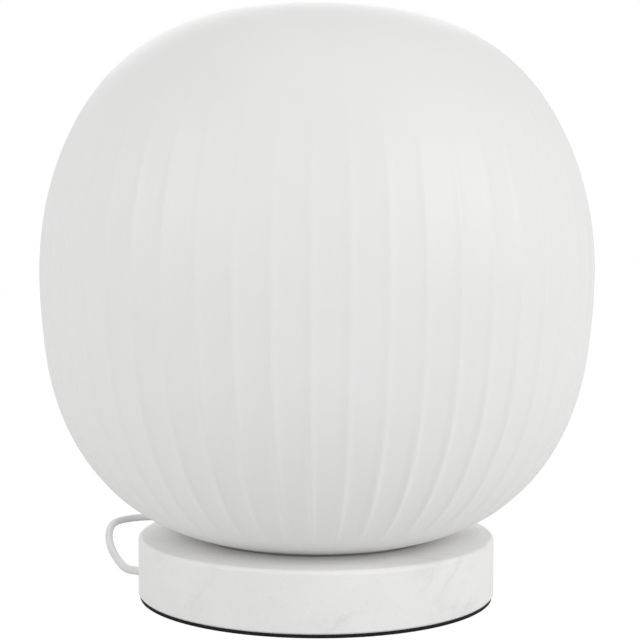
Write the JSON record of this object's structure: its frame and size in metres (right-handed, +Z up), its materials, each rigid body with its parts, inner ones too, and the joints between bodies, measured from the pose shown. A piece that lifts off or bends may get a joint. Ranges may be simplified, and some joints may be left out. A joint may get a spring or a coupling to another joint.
{
  "type": "glass globe table lamp",
  "caption": "Table lamp with a fluted opal glass globe that rests on a round marble base, with a white flex, in-line switch and plug.",
  "frame": {"origin": "middle of the pad's underside, on the globe's axis, where the lamp stands", "axes": "+Z up along the globe's axis, -Y towards the front, the cord leaves at the back left"},
  "size_m": [0.3496, 0.4209, 0.3728],
  "materials": {
    "opal_glass": "acid-etched opal glass, matt",
    "marble": "honed white marble",
    "foam_pad": "black foam",
    "zinc_steel": "zinc plated",
    "white_steel": "white powder coat",
    "silicone": "translucent white silicone",
    "spring_steel": "bright spring steel",
    "white_plastic": "white thermoplastic",
    "holder_ceramic": "glazed",
    "nickel": "nickel plated",
    "brass": "bare brass",
    "black_plastic": "black glass insulation",
    "bulb_plastic": "white lamp housing",
    "bulb_opal": "frosted white",
    "cord_pvc": "white flex sheath",
    "wire_pvc": "insulated cores",
    "tie_fabric": "white hook strap",
    "switch_plastic": "fine spark texture",
    "rocker_plastic": "polished white",
    "plug_pvc": "white moulded plug"
  },
  "bodies": {
    "base": {"marble_base": "marble", "base_pad": "foam_pad", "threaded_tube": "zinc_steel", "retaining_plate": "zinc_steel", "lower_nut": "zinc_steel", "upper_nut": "zinc_steel", "upper_washer": "zinc_steel", "gallery": "white_steel", "seat_ring": "silicone", "leaf_springs": "spring_steel", "spring_rivets": "spring_steel", "holder_cap": "white_plastic", "holder_insert": "holder_ceramic", "holder_barrel": "white_plastic", "screw_shell": "nickel", "centre_contact": "brass", "terminal_screws": "brass", "strain_relief": "cord_pvc", "cord_inlet": "cord_pvc", "inner_wires": "wire_pvc", "cord_lead": "cord_pvc", "cord_run": "cord_pvc", "cord_coil": "cord_pvc", "cord_end": "cord_pvc", "coil_tie": "tie_fabric", "switch_lower": "switch_plastic", "switch_cover": "switch_plastic", "switch_screws": "zinc_steel", "plug_body": "plug_pvc", "plug_pins": "nickel", "plug_relief": "plug_pvc"},
    "globe": {"glass_globe": "opal_glass"},
    "bulb": {"bulb_screw_cap": "nickel", "bulb_insulator": "black_plastic", "bulb_foot_contact": "brass", "bulb_housing": "bulb_plastic", "bulb_envelope": "bulb_opal"},
    "rocker": {"switch_rocker": "rocker_plastic"}
  },
  "joints": [
    {"name": "globe_lift", "type": "slide", "parent": "base", "child": "globe", "axis": [0, 0, 1], "range_m": [0, 0.2]},
    {"name": "bulb_unscrew", "type": "slide", "parent": "base", "child": "bulb", "axis": [0, 0, 1], "range_m": [0, 0.03]},
    {"name": "switch_rock", "type": "hinge", "parent": "base", "child": "rocker", "pos_m": [-0.044, 0.217, 0.0145], "axis": [0, -1, 0], "range_deg": [0, 14]}
  ]
}
